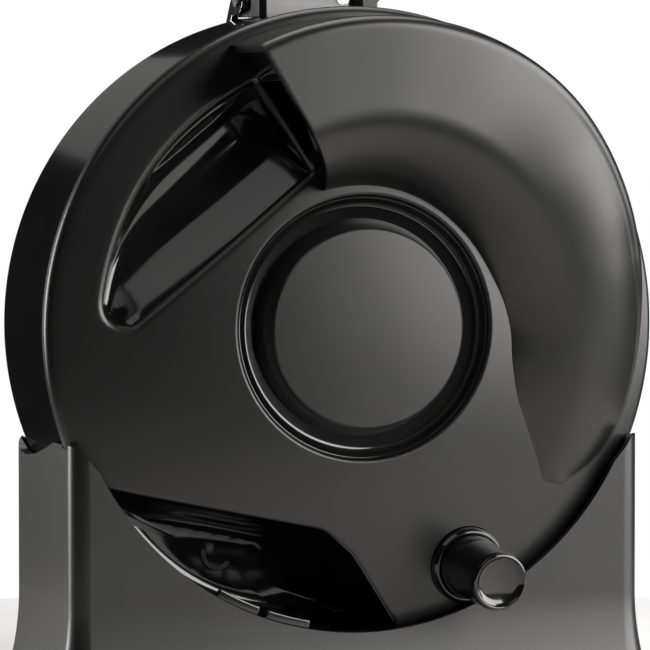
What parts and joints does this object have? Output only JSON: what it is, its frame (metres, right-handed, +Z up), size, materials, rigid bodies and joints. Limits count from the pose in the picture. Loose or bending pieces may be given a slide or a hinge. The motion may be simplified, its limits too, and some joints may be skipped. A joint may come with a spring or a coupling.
{
  "type": "electric can opener",
  "caption": "Upright electric can opener: round drum in a cradle base, knife sharpener in a domed rear cover, hinged cutter lever on top, gear motor inside.",
  "frame": {"origin": "on the surface it stands on, at the centre of the cradle's footprint, which is also the centre of the whole object's box", "axes": "+Z up; -Y out of the rear face with the sharpener; +Y out of the front face where the can hangs; +X to the right seen from the rear"},
  "size_m": [0.1704, 0.1039, 0.205],
  "materials": {
    "satin_black": "satin moulded",
    "gloss_black": "gloss moulded",
    "cap_grey": "fine satin grain",
    "spring_steel": "drawn wire",
    "switch_black": "matt moulded",
    "screw_steel": "zinc plated",
    "rubber_black": "matt rubber",
    "cradle_grey": "satin moulded",
    "base_black": "matt moulded",
    "lamination": "stacked laminations",
    "copper": "enamelled winding",
    "zinc_plate": "pressed plate",
    "brass": "sintered bronze",
    "axle_steel": "ground steel",
    "bracket_black": "gloss moulded",
    "rotor_alloy": "cast cage",
    "abrasive": "bonded grit",
    "nylon": "natural nylon",
    "hard_steel": "hardened",
    "cast_grey": "satin casting",
    "polished_steel": "polished strip",
    "magnet_black": "ferrite",
    "plunger_red": "moulded"
  },
  "bodies": {
    "housing": {"rear_cover": "satin_black", "sharpener_trough": "gloss_black", "mouth_bezel": "gloss_black", "recess_ring": "gloss_black", "centre_cap": "cap_grey", "button_collar": "gloss_black", "button_spring": "spring_steel", "button_switch": "switch_black", "front_housing": "gloss_black", "cover_screws": "screw_steel", "plate_screws": "screw_steel", "cord_well": "gloss_black", "cord_gland": "rubber_black", "cradle_base": "cradle_grey", "base_plate": "base_black", "rubber_feet": "rubber_black", "base_screws": "screw_steel", "cord_clips": "gloss_black", "motor_core": "lamination", "motor_coil": "copper", "rear_bracket": "zinc_plate", "rear_bush": "brass", "front_bush": "brass", "gearbox_plate": "zinc_plate", "motor_screws": "screw_steel", "axle_one": "axle_steel", "axle_two": "axle_steel", "spindle_bush": "brass", "pivot_pin": "axle_steel", "pivot_bracket": "bracket_black", "lever_switch": "switch_black", "can_guides": "axle_steel", "can_rest": "gloss_black"},
    "rotor_group": {"motor_shaft": "axle_steel", "rotor": "rotor_alloy", "grinding_wheel": "abrasive", "wheel_nut": "screw_steel", "pinion": "brass"},
    "first_gear": {"gear_one": "nylon"},
    "second_gear": {"gear_two": "nylon"},
    "drive_group": {"drive_gear": "nylon", "drive_spindle": "axle_steel", "drive_wheel": "hard_steel"},
    "lever": {"lever_arm": "cast_grey", "lever_grip": "bracket_black", "cutter_stud": "axle_steel", "hinge_pin": "axle_steel"},
    "cutter": {"cutter_wheel": "hard_steel"},
    "magnet_swing": {"magnet_arm": "polished_steel", "magnet": "magnet_black"},
    "button": {"sharpener_button": "gloss_black"},
    "button_switch_plunger": {"button_plunger": "plunger_red"},
    "lever_switch_plunger": {"lever_plunger": "plunger_red"}
  },
  "joints": [
    {"name": "motor_spin", "type": "hinge", "parent": "housing", "child": "rotor_group", "pos_m": [0.007, 0, 0.162], "axis": [0, 1, 0], "continuous": true},
    {"name": "first_gear_spin", "type": "hinge", "parent": "housing", "child": "first_gear", "pos_m": [0.0242, 0, 0.14996], "axis": [0, 1, 0], "continuous": true},
    {"name": "second_gear_spin", "type": "hinge", "parent": "housing", "child": "second_gear", "pos_m": [0.00926, 0, 0.13313], "axis": [0, 1, 0], "continuous": true},
    {"name": "drive_spin", "type": "hinge", "parent": "housing", "child": "drive_group", "pos_m": [0, 0, 0.155], "axis": [0, 1, 0], "continuous": true},
    {"name": "lever_lift", "type": "hinge", "parent": "housing", "child": "lever", "pos_m": [0.0093, 0, 0.191], "axis": [0, 1, 0], "range_deg": [0, 50]},
    {"name": "cutter_spin", "type": "hinge", "parent": "lever", "child": "cutter", "pos_m": [-0.002, 0, 0.1721], "axis": [0, 1, 0], "continuous": true},
    {"name": "magnet_tilt", "type": "hinge", "parent": "lever", "child": "magnet_swing", "pos_m": [-0.018, 0.01825, 0.191], "axis": [1, 0, 0], "range_deg": [0, 25]},
    {"name": "button_push", "type": "slide", "parent": "housing", "child": "button", "axis": [-0.0599, 0.9903, 0.1256], "range_m": [0, 0.0025], "stiffness_N_per_m": 300, "springref_m": -0.002, "deforming": ["button_spring"]},
    {"name": "button_plunger_push", "type": "slide", "parent": "housing", "child": "button_switch_plunger", "axis": [-0.0599, 0.9903, 0.1256], "range_m": [0, 0.0025]},
    {"name": "lever_plunger_push", "type": "slide", "parent": "housing", "child": "lever_switch_plunger", "axis": [0, 0, -1], "range_m": [0, 0.0012], "stiffness_N_per_m": 150, "springref_m": -0.001}
  ],
  "couplings": [
    {"joint": "first_gear_spin", "follows": "motor_spin", "ratio": -0.2},
    {"joint": "second_gear_spin", "follows": "motor_spin", "ratio": 0.05},
    {"joint": "drive_spin", "follows": "motor_spin", "ratio": -0.023077},
    {"joint": "button_plunger_push", "follows": "button_push", "ratio": 1}
  ]
}
